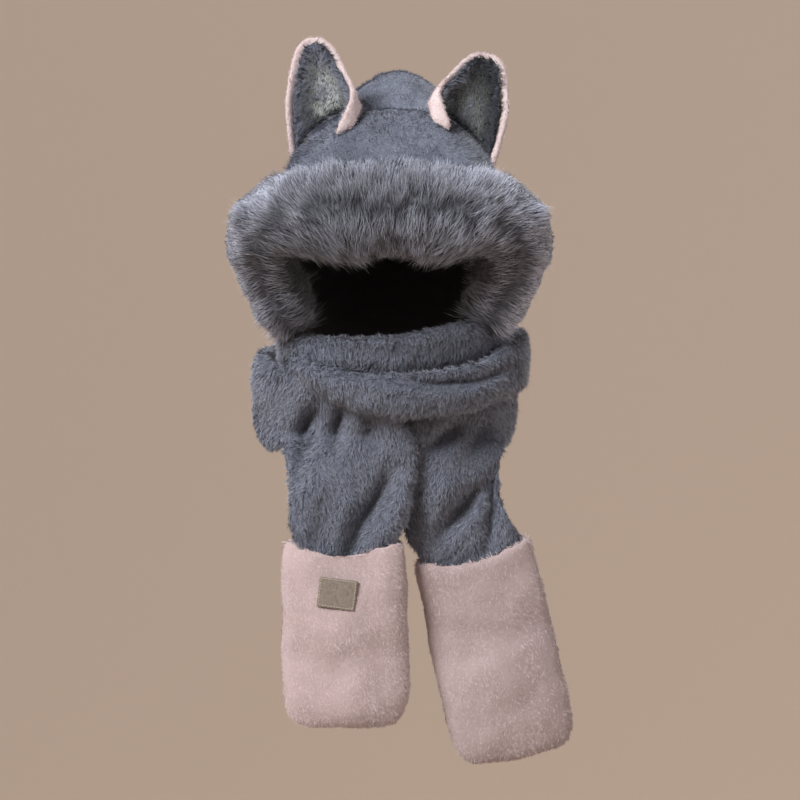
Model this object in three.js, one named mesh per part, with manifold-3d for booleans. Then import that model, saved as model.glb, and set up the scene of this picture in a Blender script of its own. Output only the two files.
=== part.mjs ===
// A plush animal hood scarf: a hood with two ears and a deep fur brim, and two scarf
// panels that cross under the chin, go once round the neck and end in hand pockets.
// Millimetres, +Z up. The front faces -Y. Left and right are as seen from the front, so
// left is -X. The origin is the inside of the crown, where a head touches it.
import * as THREE from "three";
import { mergeVertices } from "three/addons/utils/BufferGeometryUtils.js";
import Module from "manifold-3d";

const wasm = await Module();
wasm.setup();

// Clearance between two pieces that touch
const CLEARANCE = 0.4;

// Hood
const HOOD_HALF_WIDTH = 126;
const HOOD_RISE = 180; // temple line up to the crown's peak
const HOOD_DROP = 215; // temple line down to the neck hem
const HOOD_FRONT = 135; // seat forward to the opening's edge
const HOOD_BACK = 140; // seat back to the seam
const HOOD_WALL = 10;

// Fur brim, a padded roll round the hood's edge with the pile on it
const BRIM_HALF_HEIGHT = 60;
const BRIM_HALF_DEPTH = 45;
const BRIM_CORE_SHARE = 0.52; // the padding, as a share of the roll
const BRIM_LENGTH = 300; // top of the opening down to the roll's end, along the edge
const BRIM_CENTRE_DROP = 40; // temple line down to the point that the roll faces away from
const LOCK_LENGTH = 34;
const LOCK_RADIUS = 15;

// Ears
const EAR_HEIGHT = 158;
const EAR_HALF_WIDTH = 43;
const EAR_CURL_DEPTH = 0.62; // the curl's depth, as a share of the ear's half width
const EAR_BACK_THICKNESS = 7;
const EAR_FACE_THICKNESS = 5;
const EAR_CENTRE_THICKNESS = 2.5;
const EAR_RIM = 8; // back cloth that shows round the face
const EAR_FACE_BORDER = 21; // face cloth that shows round the centre
const EAR_SPREAD = 0.627; // each ear's middle, as a share of the hood's half width
const EAR_SEAT_DEPTH = 0.353; // opening to the ears, as a share of the hood's depth
const EAR_SUNK = 0.455; // seat below the crown's middle, as a share of the rise

// Scarf panels
const SCARF_HALF_WIDTH = 72;
const SCARF_HALF_THICKNESS = 13;
const SCARF_DROP = 250; // chin down to the pocket mouths
const WRAP_STANDOFF = 24; // the folds' middle beyond the hood's side

// Pockets
const POCKET_HALF_WIDTH = 74;
const POCKET_HALF_THICKNESS = 26;
const POCKET_LENGTH = 250;
const POCKET_WALL = 7;
const MOUTH_DIP = 15; // how far the mouth's front edge sags in its middle
const SCARF_TUCK = 45; // panel's end inside the pocket
const LABEL_WIDTH = 44;
const LABEL_HEIGHT = 35;
const LABEL_THICKNESS = 1.2;

// Hood sections, from the opening's edge to the seam. Shares of the hood's depth, of its
// rise and of its half width. A low arch number is a peaked crown, a high one a flat crown.
const HOOD_SECTIONS = [
  { depth: 0, crown: 0.25, width: 1.14, arch: 2.15 },
  { depth: 0.06, crown: 0.42, width: 1.09, arch: 2.5 },
  { depth: 0.18, crown: 0.62, width: 1.01, arch: 2.5 },
  { depth: 0.33, crown: 0.755, width: 0.99, arch: 2.4 },
  { depth: 0.49, crown: 0.722, width: 1, arch: 2.2 },
  { depth: 0.59, crown: 0.88, width: 0.985, arch: 1.85 },
  { depth: 0.7, crown: 1, width: 0.94, arch: 1.7 },
  { depth: 0.82, crown: 0.93, width: 0.82, arch: 1.7 },
  { depth: 0.92, crown: 0.72, width: 0.6, arch: 1.8 },
  { depth: 0.975, crown: 0.44, width: 0.34, arch: 2 },
  { depth: 1, crown: 0.22, width: 0, arch: 2 },
];
const SEAT_CROWN = 0.722; // the crown's share over the seat
const TEMPLE_Z = HOOD_WALL - SEAT_CROWN * HOOD_RISE;

// The wrap goes round the hood's neck at the height of the chin
const CHIN_LEVEL = 0.58; // temple line to the chin, as a share of the hood's drop
const CHIN_Z = TEMPLE_Z - CHIN_LEVEL * HOOD_DROP;
const WRAP_HALF_WIDTH = HOOD_HALF_WIDTH + WRAP_STANDOFF;
const WRAP_REACH = HOOD_BACK;

// Hood levels, from the hem to the crown. Level is a share of the drop below the temple
// line and of the rise above it; the rest are shares of the front, back and half width.
const HOOD_LEVELS = [
  { level: -1, front: 0.52, back: 0.78, width: 0.82 },
  { level: -0.56, front: 0.53, back: 0.87, width: 0.85 },
  { level: -0.4, front: 0.56, back: 0.95, width: 0.91 },
  { level: -0.25, front: 0.64, back: 1, width: 0.98 },
  { level: -0.1, front: 0.79, back: 1.01, width: 1 },
  { level: 0, front: 0.91, back: 1, width: 1 },
  { level: 0.25, front: 1, back: 1, width: 1 },
  { level: 1, front: 1, back: 1, width: 1 },
];

// Brim sections, from the top of the opening down one side. Shares of the brim's length,
// height and depth; sag moves the roll towards the opening, as a share of its height.
const BRIM_SECTIONS = [
  { along: 0, sag: 0.46, height: 1.02, depth: 1 },
  { along: 0.2, sag: 0.42, height: 0.98, depth: 1 },
  { along: 0.36, sag: 0.26, height: 0.9, depth: 0.98 },
  { along: 0.5, sag: -0.02, height: 0.8, depth: 0.95 },
  { along: 0.64, sag: -0.12, height: 0.72, depth: 0.88 },
  { along: 0.82, sag: -0.02, height: 0.66, depth: 0.82 },
  { along: 0.94, sag: 0.04, height: 0.64, depth: 0.76 },
  { along: 1, sag: 0.06, height: 0.4, depth: 0.46 },
];

// Ear sections, from the seat to the tip. Shares of the height and of the half width, how
// far the ear's outer and inner halves curl forward in degrees, and where its middle lies
// towards the head's middle, as a share of the half width.
const EAR_SECTIONS = [
  { height: 0, width: 0.84, outer: 96, inner: 168, lean: 0.16 },
  { height: 0.18, width: 0.98, outer: 94, inner: 165, lean: 0.2 },
  { height: 0.36, width: 1.02, outer: 92, inner: 152, lean: 0.19 },
  { height: 0.52, width: 0.99, outer: 86, inner: 122, lean: 0.13 },
  { height: 0.68, width: 0.85, outer: 76, inner: 88, lean: 0.02 },
  { height: 0.8, width: 0.7, outer: 66, inner: 72, lean: -0.08 },
  { height: 0.9, width: 0.53, outer: 56, inner: 60, lean: -0.14 },
  { height: 0.965, width: 0.34, outer: 48, inner: 50, lean: -0.17 },
  { height: 1, width: 0.14, outer: 40, inner: 40, lean: -0.18 },
];

// Scarf stations along each panel, from the hood's cheek to the pocket. side and front are
// shares of the wrap's half width and reach, drop of the scarf's drop, width and thickness
// of its half width and half thickness. turn is the way that the panel's face looks, in
// degrees from the front towards -X; roll tips its upper edge towards +X.
const RIGHT_PANEL = [
  { side: 0.86, front: 0.28, drop: 0, width: 0.34, thick: 0.8, turn: -66, roll: 10 },
  { side: 0.64, front: 0.62, drop: 0.04, width: 0.36, thick: 1, turn: -40, roll: 8 },
  { side: 0.1, front: 0.79, drop: 0.085, width: 0.35, thick: 1.15, turn: 0, roll: 4 },
  { side: -0.42, front: 0.73, drop: 0.09, width: 0.3, thick: 1.1, turn: 28, roll: 0 },
  { side: -0.74, front: 0.5, drop: 0.085, width: 0.25, thick: 1, turn: 52, roll: -8 },
  { side: -0.81, front: 0.1, drop: 0.12, width: 0.32, thick: 0.9, turn: 88, roll: 0 },
  { side: -0.71, front: -0.45, drop: 0.16, width: 0.42, thick: 0.9, turn: 130, roll: 0 },
  { side: 0, front: -0.89, drop: 0.2, width: 0.48, thick: 0.9, turn: 180, roll: 0 },
  { side: 0.71, front: -0.45, drop: 0.24, width: 0.5, thick: 0.9, turn: 230, roll: 0 },
  { side: 0.93, front: 0.1, drop: 0.33, width: 0.6, thick: 0.9, turn: 274, roll: -10 },
  { side: 0.8, front: 0.5, drop: 0.4, width: 0.68, thick: 0.92, turn: 312, roll: -38 },
  { side: 0.55, front: 0.7, drop: 0.45, width: 0.95, thick: 0.95, turn: 340, roll: -68 },
  { side: 0.44, front: 0.76, drop: 0.58, width: 0.9, thick: 0.95, turn: 354, roll: -84 },
  { side: 0.45, front: 0.8, drop: 0.76, width: 0.86, thick: 0.9, turn: 360, roll: -94 },
  { side: 0.54, front: 0.83, drop: 0.93, width: 0.9, thick: 0.75, turn: 360, roll: -100 },
];
const LEFT_PANEL = [
  { side: -0.74, front: 0.52, drop: 0.15, width: 0.2, thick: 0.8, turn: 50, roll: -30 },
  { side: -0.62, front: 0.78, drop: 0.18, width: 0.27, thick: 1, turn: 32, roll: -28 },
  { side: -0.36, front: 0.97, drop: 0.235, width: 0.33, thick: 1.2, turn: 16, roll: -14 },
  { side: 0.08, front: 1.04, drop: 0.27, width: 0.36, thick: 1.25, turn: 0, roll: 0 },
  { side: 0.6, front: 0.88, drop: 0.25, width: 0.4, thick: 1.15, turn: -30, roll: 12 },
  { side: 0.95, front: 0.5, drop: 0.18, width: 0.48, thick: 1, turn: -62, roll: 14 },
  { side: 1.02, front: -0.05, drop: 0.17, width: 0.52, thick: 0.9, turn: -92, roll: 0 },
  { side: 0.84, front: -0.64, drop: 0.22, width: 0.52, thick: 0.9, turn: -136, roll: 0 },
  { side: 0, front: -1.06, drop: 0.28, width: 0.56, thick: 0.9, turn: -180, roll: 0 },
  { side: -0.84, front: -0.64, drop: 0.31, width: 0.64, thick: 0.9, turn: -224, roll: 0 },
  { side: -1.03, front: 0, drop: 0.33, width: 0.68, thick: 0.92, turn: -268, roll: 4 },
  { side: -0.84, front: 0.5, drop: 0.39, width: 0.88, thick: 0.95, turn: -304, roll: 32 },
  { side: -0.48, front: 0.76, drop: 0.43, width: 1.08, thick: 0.95, turn: -334, roll: 64 },
  { side: -0.3, front: 0.87, drop: 0.53, width: 1.14, thick: 0.95, turn: -352, roll: 80 },
  { side: -0.29, front: 0.95, drop: 0.7, width: 1.05, thick: 0.92, turn: -360, roll: 88 },
  { side: -0.32, front: 1.01, drop: 0.87, width: 1, thick: 0.8, turn: -360, roll: 90 },
];

// Where each pocket's mouth hangs, as shares like a panel's, with its tilt about the view
// and its lean from the vertical in degrees, and its share of the pockets' length
const RIGHT_POCKET = { side: 0.63, front: 0.84, drop: 0.99, tilt: 12.5, lean: 1, length: 1.03 };
const LEFT_POCKET = { side: -0.345, front: 1.05, drop: 0.925, tilt: 0.6, lean: 2, length: 0.88 };

// Pocket sections, from the mouth to the closed end. Shares of length, half width and half
// thickness.
const POCKET_SECTIONS = [
  { down: 0, width: 0.93, thick: 0.86 },
  { down: 0.12, width: 0.97, thick: 0.9 },
  { down: 0.4, width: 1, thick: 1 },
  { down: 0.7, width: 1, thick: 0.98 },
  { down: 0.86, width: 0.985, thick: 0.86 },
  { down: 0.94, width: 0.92, thick: 0.66 },
  { down: 0.985, width: 0.8, thick: 0.4 },
  { down: 1, width: 0.66, thick: 0.16 },
];

// Solids from points

// A smooth curve through one column of a table, read against another
function column(rows, key, name) {
  const curve = new THREE.CubicInterpolant(
    rows.map((row) => row[key]),
    rows.map((row) => row[name]),
    1,
  );
  return (value) => curve.evaluate(value)[0];
}

// Where a flattened ring's corner lies, as shares of its two half sizes. The lower the two
// powers, the squarer the ring.
function squareRound(angle, acrossPower, outPower) {
  const [across, out] = [Math.cos(angle), Math.sin(angle)];
  return {
    across: Math.sign(across) * Math.abs(across) ** acrossPower,
    out: Math.sign(out) * Math.abs(out) ** outPower,
  };
}

// A closed solid from points and triangles, whichever way round its faces were listed
function solidOf(points, triangles) {
  const flat = triangles.flatMap((corners) => corners.flatMap((k) => points[k].toArray()));
  const raw = new THREE.BufferGeometry();
  raw.setAttribute("position", new THREE.Float32BufferAttribute(flat, 3));
  return solidOfGeometry(raw);
}

const WELD_DISTANCE = 1e-3;

function solidOfGeometry(geometry) {
  const bare = geometry.index ? geometry.toNonIndexed() : geometry.clone();
  bare.deleteAttribute("normal");
  bare.deleteAttribute("uv");
  const merged = mergeVertices(bare, WELD_DISTANCE);
  const index = merged.index.array;
  const position = merged.attributes.position.array;
  const faces = [];
  let volume = 0;
  const corner = (k) => new THREE.Vector3().fromArray(position, 3 * k);
  for (let i = 0; i < index.length; i += 3) {
    const [a, b, c] = index.slice(i, i + 3);
    if (a === b || b === c || c === a) continue;
    faces.push([a, b, c]);
    volume += corner(a).dot(corner(b).cross(corner(c)));
  }
  const outward = volume > 0 ? faces : faces.map(([a, b, c]) => [a, c, b]);
  return new wasm.Manifold(
    new wasm.Mesh({
      numProp: 3,
      vertProperties: position,
      triVerts: new Uint32Array(outward.flat()),
    }),
  );
}

// Triangles of a grid of points stored row after row
function gridFaces(rowCount, columnCount, start = 0) {
  const faces = [];
  for (let i = 0; i < rowCount - 1; i++) {
    for (let j = 0; j < columnCount - 1; j++) {
      const a = start + i * columnCount + j;
      const b = a + columnCount;
      faces.push([a, b, a + 1], [a + 1, b, b + 1]);
    }
  }
  return faces;
}

function ringMiddle(ring) {
  const middle = new THREE.Vector3();
  ring.forEach((point) => middle.addScaledVector(point, 1 / ring.length));
  return middle;
}

// A tube through closed rings of points, with its two ends capped. grow moves both ends out.
function tube(rings, grow = 0) {
  const count = rings[0].length;
  const last = rings.length - 1;
  for (const [end, next] of [[0, 1], [last, last - 1]]) {
    const away = ringMiddle(rings[end]).sub(ringMiddle(rings[next])).setLength(grow);
    rings[end] = rings[end].map((point) => point.clone().add(away));
  }
  const points = rings.flatMap((ring) => [...ring, ring[0]]);
  const faces = gridFaces(rings.length, count + 1);
  for (const [ring, way] of [[0, 1], [last, -1]]) {
    const hub = points.push(ringMiddle(rings[ring])) - 1;
    for (let j = 0; j < count; j++) {
      const a = ring * (count + 1) + j;
      faces.push(way > 0 ? [hub, a, a + 1] : [hub, a + 1, a]);
    }
  }
  return solidOf(points, faces);
}

// A closed sheet between two grids of the same shape. Where it is seamed, each grid closes
// on itself along its last row, so no rim runs there.
function sheet(rowCount, columnCount, outside, inside, seamed = false) {
  const size = rowCount * columnCount;
  const points = [];
  for (const side of [outside, inside]) {
    for (let i = 0; i < rowCount; i++) {
      for (let j = 0; j < columnCount; j++) {
        points.push(side(i / (rowCount - 1), j / (columnCount - 1)));
      }
    }
  }
  const faces = gridFaces(rowCount, columnCount);
  faces.push(...gridFaces(rowCount, columnCount, size).map(([a, b, c]) => [a, c, b]));
  const rim = [];
  for (let j = 0; j < columnCount; j++) rim.push(j);
  for (let i = 1; i < rowCount; i++) rim.push(i * columnCount + columnCount - 1);
  for (let j = columnCount - 2; j >= 0; j--) rim.push((rowCount - 1) * columnCount + j);
  for (let i = rowCount - 2; i >= 0; i--) rim.push(i * columnCount);
  for (let k = 0; k < rim.length - 1; k++) {
    const [a, b] = [rim[k], rim[k + 1]];
    const onLastRow = Math.min(a, b) >= size - columnCount;
    if (seamed && onLastRow) continue;
    faces.push([a, b, a + size], [b, b + size, a + size]);
  }
  return solidOf(points, faces);
}

// The largest body of a cut solid, without the slivers that a cut leaves
function mainBody(solid) {
  return solid.decompose().reduce((a, b) => (a.volume() > b.volume() ? a : b));
}

function meshOf(name, solid, colour, roughness) {
  const { vertProperties, triVerts, numProp } = solid.getMesh();
  const position = new Float32Array((vertProperties.length / numProp) * 3);
  for (let i = 0; i < position.length / 3; i++) {
    position.set(vertProperties.subarray(i * numProp, i * numProp + 3), i * 3);
  }
  const geometry = new THREE.BufferGeometry();
  geometry.setAttribute("position", new THREE.BufferAttribute(position, 3));
  geometry.setIndex(new THREE.BufferAttribute(new Uint32Array(triVerts), 1));
  geometry.computeVertexNormals();
  const material = new THREE.MeshStandardMaterial({ color: colour, roughness, metalness: 0 });
  const mesh = new THREE.Mesh(geometry, material);
  mesh.name = name;
  return mesh;
}

// The hood: two cloth sides that meet in a seam at the back, open at the face and the neck

const HOOD_COLUMNS = 13; // rings from the opening to the seam
const SIDE_STEPS = 5; // steps up each side, hem to temple
const ARCH_STEPS = 12; // steps over the crown
const hoodCrown = column(HOOD_SECTIONS, "depth", "crown");
const hoodWidth = column(HOOD_SECTIONS, "depth", "width");
const hoodArch = column(HOOD_SECTIONS, "depth", "arch");
const levelFront = column(HOOD_LEVELS, "level", "front");
const levelBack = column(HOOD_LEVELS, "level", "back");
const levelWidth = column(HOOD_LEVELS, "level", "width");

// A point of the hood's cloth. depth runs from the opening to the seam, around from the
// left hem over the crown to the right hem, and inset is how far the point lies inside the
// outer face. grow moves the opening and the hem out.
function hoodPoint(depth, around, inset, grow = 0) {
  const steps = 2 * SIDE_STEPS + ARCH_STEPS;
  const step = around * steps;
  let side;
  let z;
  if (step < SIDE_STEPS || step > steps - SIDE_STEPS) {
    const up = Math.min(step, steps - step) / SIDE_STEPS;
    side = step < SIDE_STEPS ? -1 : 1;
    z = TEMPLE_Z - (HOOD_DROP + grow) * (1 - up);
  } else {
    const angle = Math.PI * (1 - (step - SIDE_STEPS) / ARCH_STEPS);
    const power = 2 / hoodArch(depth);
    const rise = Math.max(hoodCrown(depth) * HOOD_RISE - inset, 1);
    side = Math.sign(Math.cos(angle)) * Math.abs(Math.cos(angle)) ** power;
    z = TEMPLE_Z + rise * Math.sin(angle) ** power;
  }
  const level = z < TEMPLE_Z ? (z - TEMPLE_Z) / HOOD_DROP : (z - TEMPLE_Z) / HOOD_RISE;
  const halfWidth = hoodWidth(depth) * HOOD_HALF_WIDTH * levelWidth(level) - inset;
  const x = depth < 1 ? side * Math.max(0, halfWidth) : 0;
  const front = -HOOD_FRONT * levelFront(level) - grow;
  const back = HOOD_BACK * levelBack(level) - inset;
  return new THREE.Vector3(x, THREE.MathUtils.lerp(front, back, depth), z);
}

// Rings lie closer together where the back of the hood rounds to the seam
const RING_CROWDING = 1.15; // a higher number spreads the rings at the opening
const ringDepth = (share) => (share < 1 ? Math.sin((share * Math.PI) / 2) ** RING_CROWDING : 1);

const hoodAround = 2 * SIDE_STEPS + ARCH_STEPS + 1;
const hoodGrid = (inset, grow) => (share, turn) => hoodPoint(ringDepth(share), turn, inset, grow);

// The cloth falls steeply behind the opening, so a grown shell's inner face lies well in
const INNER_GROWTH = 3;

function hoodShell(grow) {
  const outside = hoodGrid(-grow, grow);
  const inside = hoodGrid(HOOD_WALL + INNER_GROWTH * grow, grow);
  return sheet(HOOD_COLUMNS, hoodAround, outside, inside, true);
}

// The hood with its hollow filled, to seat the ears on. A fan of triangles closes it.
function hoodFilled(grow) {
  const point = hoodGrid(-grow, grow);
  const points = [];
  for (let i = 0; i < HOOD_COLUMNS; i++) {
    for (let j = 0; j < hoodAround; j++) {
      points.push(point(i / (HOOD_COLUMNS - 1), j / (hoodAround - 1)));
    }
  }
  const rim = [];
  for (let j = 0; j < hoodAround; j++) rim.push(j);
  for (let i = 1; i < HOOD_COLUMNS; i++) rim.push(i * hoodAround + hoodAround - 1);
  for (let i = HOOD_COLUMNS - 2; i >= 0; i--) rim.push(i * hoodAround);
  const hub = points.push(new THREE.Vector3(0, 0, TEMPLE_Z)) - 1;
  const faces = gridFaces(HOOD_COLUMNS, hoodAround);
  for (let k = 0; k < rim.length - 1; k++) faces.push([hub, rim[k], rim[k + 1]]);
  return solidOf(points, faces);
}

// The brim: the hood's edge is padded into a roll, and a fur sleeve covers the roll

const BRIM_STATIONS = 25;
const BRIM_SIDES = 10;
const brimSag = column(BRIM_SECTIONS, "along", "sag");
const brimHeight = column(BRIM_SECTIONS, "along", "height");
const brimDepth = column(BRIM_SECTIONS, "along", "depth");

// The opening's edge as a curve from its top down to the left (-1) or right (1) end
const EDGE_BENDS = 12;
const EDGE = new THREE.CatmullRomCurve3(
  Array.from({ length: EDGE_BENDS + 1 }, (_, k) => hoodPoint(0, k / EDGE_BENDS, HOOD_WALL / 2)),
);
const EDGE_LENGTH = EDGE.getLength();

// One section of the roll: its middle, its outward and front axes and its two half sizes
function brimSection(side) {
  const along = Math.abs(side);
  const place = 0.5 + (side * BRIM_LENGTH) / EDGE_LENGTH;
  const middle = EDGE.getPointAt(place);
  const tangent = EDGE.getTangentAt(place);
  const outward = middle.clone().sub(new THREE.Vector3(0, middle.y, TEMPLE_Z - BRIM_CENTRE_DROP));
  outward.addScaledVector(tangent, -outward.dot(tangent)).normalize();
  const front = new THREE.Vector3().crossVectors(outward, tangent).normalize();
  if (front.y > 0) front.negate();
  middle.addScaledVector(outward, -brimSag(along) * BRIM_HALF_HEIGHT);
  return {
    middle,
    outward,
    front,
    height: brimHeight(along) * BRIM_HALF_HEIGHT,
    depth: brimDepth(along) * BRIM_HALF_DEPTH,
  };
}

function brimPoint(section, angle, share, grow) {
  const { middle, outward, front, height, depth } = section;
  return middle
    .clone()
    .addScaledVector(outward, (height * share + grow) * Math.cos(angle))
    .addScaledVector(front, (depth * share + grow) * Math.sin(angle));
}

function brimRoll(share, grow, reach) {
  const rings = [];
  for (let i = 0; i < BRIM_STATIONS; i++) {
    const section = brimSection(reach * ((2 * i) / (BRIM_STATIONS - 1) - 1));
    const ring = [];
    for (let j = 0; j < BRIM_SIDES; j++) {
      ring.push(brimPoint(section, (2 * Math.PI * j) / BRIM_SIDES, share, grow));
    }
    rings.push(ring);
  }
  return tube(rings, grow);
}

// Locks of the brim's pile: rows round the roll, combed away from its front ridge
const LOCK_ROWS = [
  { angle: 34, sweep: 1.6 },
  { angle: 72, sweep: 1.2 },
  { angle: 106, sweep: -1.1 },
  { angle: 146, sweep: -1.6 },
];
const LOCKS_IN_ROW = 13;
const LOCK_SIDES = 5;
const LOCK_REACH = 0.9; // rows stop short of the roll's ends
const ROLL_SHARE = 0.92; // the roll under the locks, as a share of the whole brim
const LOCK_BEDDED = 0.5; // share of a lock that is sunk in the roll

function furLock(side, row) {
  const section = brimSection(side);
  const angle = THREE.MathUtils.degToRad(row.angle);
  const root = brimPoint(section, angle, ROLL_SHARE, 0);
  const normal = section.outward
    .clone()
    .multiplyScalar(Math.cos(angle) / section.height)
    .addScaledVector(section.front, Math.sin(angle) / section.depth)
    .normalize();
  const combed = section.outward
    .clone()
    .multiplyScalar(Math.sin(angle))
    .addScaledVector(section.front, -Math.cos(angle));
  const way = normal.clone().addScaledVector(combed, row.sweep).normalize();
  const size = section.height / BRIM_HALF_HEIGHT;
  const lock = new THREE.ConeGeometry(LOCK_RADIUS, LOCK_LENGTH * size, LOCK_SIDES);
  lock.translate(0, (0.5 - LOCK_BEDDED) * LOCK_LENGTH * size, 0);
  const stand = new THREE.Quaternion().setFromUnitVectors(new THREE.Vector3(0, 1, 0), way);
  lock.applyQuaternion(stand);
  lock.translate(root.x, root.y, root.z);
  return solidOfGeometry(lock);
}

function furBrim() {
  let fur = brimRoll(ROLL_SHARE, 0, 1);
  LOCK_ROWS.forEach((row, k) => {
    for (let i = 0; i < LOCKS_IN_ROW; i++) {
      const stagger = k % 2 ? 0.5 : 0;
      const share = (2 * (i + stagger)) / LOCKS_IN_ROW - 1;
      fur = fur.add(furLock(LOCK_REACH * share, row));
    }
  });
  return fur;
}

// The ears: a curled leaf of back cloth, a face sewn inside its rim and a paler centre

// Every layer of an ear is read off one lattice, so that its facets lie parallel to the
// next layer's: the outermost lines are the back's own rim, the next ones the face's.
const EAR_RISES = [0, 0.18, 0.36, 0.52, 0.66, 1]; // shares of the centre's height
const EAR_STRIPS = [0, 0.25, 0.5, 0.75, 1]; // shares of the centre's breadth
const EAR_BORDERS = [0, EAR_RIM, EAR_FACE_BORDER];
const earWidth = column(EAR_SECTIONS, "height", "width");
const earOuter = column(EAR_SECTIONS, "height", "outer");
const earInner = column(EAR_SECTIONS, "height", "inner");
const earLean = column(EAR_SECTIONS, "height", "lean");

// Each ear's side, and how far it opens outwards, tips outwards and tips back in degrees,
// with its share of the ears' height
const EARS = [
  { name: "left", side: -0.94, open: 8, tip: 3, back: 4, height: 1 },
  { name: "right", side: 1, open: 4, tip: 12, back: 14, height: 0.94 },
];

// The distances up an ear of the lattice's rows
function earRows(ear) {
  const tall = EAR_HEIGHT * ear.height;
  const rows = EAR_RISES.map((share) => share * (tall - EAR_FACE_BORDER));
  return [...rows, tall - EAR_RIM, tall].map((height) => height / tall);
}

// The angles round the curl of the lattice's columns, from the outer to the inner edge. Near
// the narrow tip each border takes a share of the outer half instead of its full width.
const TIP_BORDER_SHARE = 0.38;

function earAngles(radius, outer, inner) {
  const trims = EAR_BORDERS.map((border, k) =>
    Math.min(border / radius, TIP_BORDER_SHARE * k * outer),
  );
  const [near, far] = [trims[2] - outer, inner - trims[2]];
  const middle = EAR_STRIPS.map((share) => THREE.MathUtils.lerp(near, far, share));
  return [-outer, trims[1] - outer, ...middle, inner - trims[1], inner];
}

// A point of the ear at a row and a column of the lattice, raised off the back cloth
function earPoint(ear, share, line, raise) {
  const tall = EAR_HEIGHT * ear.height;
  const outer = THREE.MathUtils.degToRad(earOuter(share));
  const inner = THREE.MathUtils.degToRad(earInner(share));
  const radius = (earWidth(share) * EAR_HALF_WIDTH) / Math.sin(Math.min(outer, Math.PI / 2));
  const depth = radius * EAR_CURL_DEPTH;
  const angle = earAngles(radius, outer, inner)[line];
  const normal = new THREE.Vector2(Math.sin(angle) / radius, Math.cos(angle) / depth);
  normal.setLength(1).multiplyScalar(raise);
  const inward = radius * Math.sin(angle) - normal.x + earLean(share) * EAR_HALF_WIDTH;
  const point = new THREE.Vector3(
    -ear.side * inward,
    depth * (Math.cos(angle) - 1) - normal.y,
    share * tall,
  );
  const turn = (axis, degrees) => point.applyAxisAngle(axis, THREE.MathUtils.degToRad(degrees));
  turn(new THREE.Vector3(0, 0, 1), ear.side * ear.open);
  turn(new THREE.Vector3(1, 0, 0), -ear.back);
  turn(new THREE.Vector3(0, 1, 0), ear.side * ear.tip);
  const seat = new THREE.Vector3(
    ear.side * EAR_SPREAD * HOOD_HALF_WIDTH,
    THREE.MathUtils.lerp(-HOOD_FRONT, HOOD_BACK, EAR_SEAT_DEPTH),
    TEMPLE_Z + (hoodCrown(EAR_SEAT_DEPTH) - EAR_SUNK) * HOOD_RISE,
  );
  return point.add(seat);
}

// One layer of an ear: level 0 reaches the lattice's rim, level 1 stops a line inside it
function earLayer(ear, level, near, far) {
  const rows = earRows(ear);
  rows.length -= level;
  const columns = EAR_STRIPS.length + 4 - 2 * level;
  const point = (raise) => (up, across) =>
    earPoint(
      ear,
      rows[Math.round(up * (rows.length - 1))],
      level + Math.round(across * (columns - 1)),
      raise,
    );
  return sheet(rows.length, columns, point(near), point(far));
}

// The scarf panels: long flat tubes of plush, gathered round the neck and wide below it

const PANEL_STATIONS = 35;
const PANEL_SIDES = 14;
const panelCorner = (j) => squareRound((2 * Math.PI * j) / PANEL_SIDES, 0.85, 0.8);

function panelFrame(row) {
  const turn = THREE.MathUtils.degToRad(row.turn);
  const roll = THREE.MathUtils.degToRad(row.roll);
  const face = new THREE.Vector3(-Math.sin(turn), -Math.cos(turn), 0);
  const level = new THREE.Vector3(Math.cos(turn), -Math.sin(turn), 0);
  const upper = new THREE.Vector3(0, 0, Math.cos(roll)).addScaledVector(level, Math.sin(roll));
  const middle = new THREE.Vector3(
    row.side * WRAP_HALF_WIDTH,
    -row.front * WRAP_REACH,
    CHIN_Z - row.drop * SCARF_DROP,
  );
  return { middle, face, upper };
}

// Folds pressed into a panel: where along it, how far across, how deep as a share of the
// thickness and how broad
const RIGHT_FOLDS = [
  { from: 0.02, to: 0.2, across: -0.55, depth: 0.5, breadth: 0.3 },
  { from: 0.68, to: 0.98, across: -0.45, depth: 0.55, breadth: 0.28 },
  { from: 0.72, to: 1, across: 0.3, depth: -0.45, breadth: 0.3 },
];
const LEFT_FOLDS = [
  { from: 0.66, to: 0.88, across: -0.35, depth: 0.6, breadth: 0.16 },
  { from: 0.68, to: 0.9, across: 0.1, depth: 0.55, breadth: 0.16 },
  { from: 0.8, to: 1, across: 0.35, depth: 0.75, breadth: 0.24 },
];

function foldDepth(folds, along, across) {
  return folds.reduce((sum, fold) => {
    if (along <= fold.from || along >= fold.to) return sum;
    const share = (along - fold.from) / (fold.to - fold.from);
    const away = (across - fold.across) / fold.breadth;
    return sum + fold.depth * Math.sin(Math.PI * share) ** 0.7 * Math.exp(-away * away);
  }, 0);
}

function panelRings(table, folds, pocket, grow) {
  const rows = table.map((row, k) => ({ ...row, at: k / (table.length - 1) }));
  const names = ["side", "front", "drop", "width", "thick", "turn", "roll"];
  const read = Object.fromEntries(names.map((name) => [name, column(rows, "at", name)]));
  const rings = [];
  for (let i = 0; i < PANEL_STATIONS; i++) {
    const along = i / (PANEL_STATIONS - 1);
    const row = Object.fromEntries(names.map((name) => [name, read[name](along)]));
    const { middle, face, upper } = panelFrame(row);
    const halfWidth = row.width * SCARF_HALF_WIDTH + grow;
    const halfThick = row.thick * SCARF_HALF_THICKNESS;
    const ring = [];
    for (let j = 0; j < PANEL_SIDES; j++) {
      const { across, out } = panelCorner(j);
      const pressed = foldDepth(folds, along, across) * halfThick;
      ring.push(
        middle
          .clone()
          .addScaledVector(upper, across * halfWidth)
          .addScaledVector(face, out * (halfThick + grow) - pressed),
      );
    }
    rings.push(ring);
  }
  rings.push(...tuckedRings(table[table.length - 1], pocket, grow));
  return rings;
}

// The pockets: flat pouches with an open mouth, a closed round end and a hand's room

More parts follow.
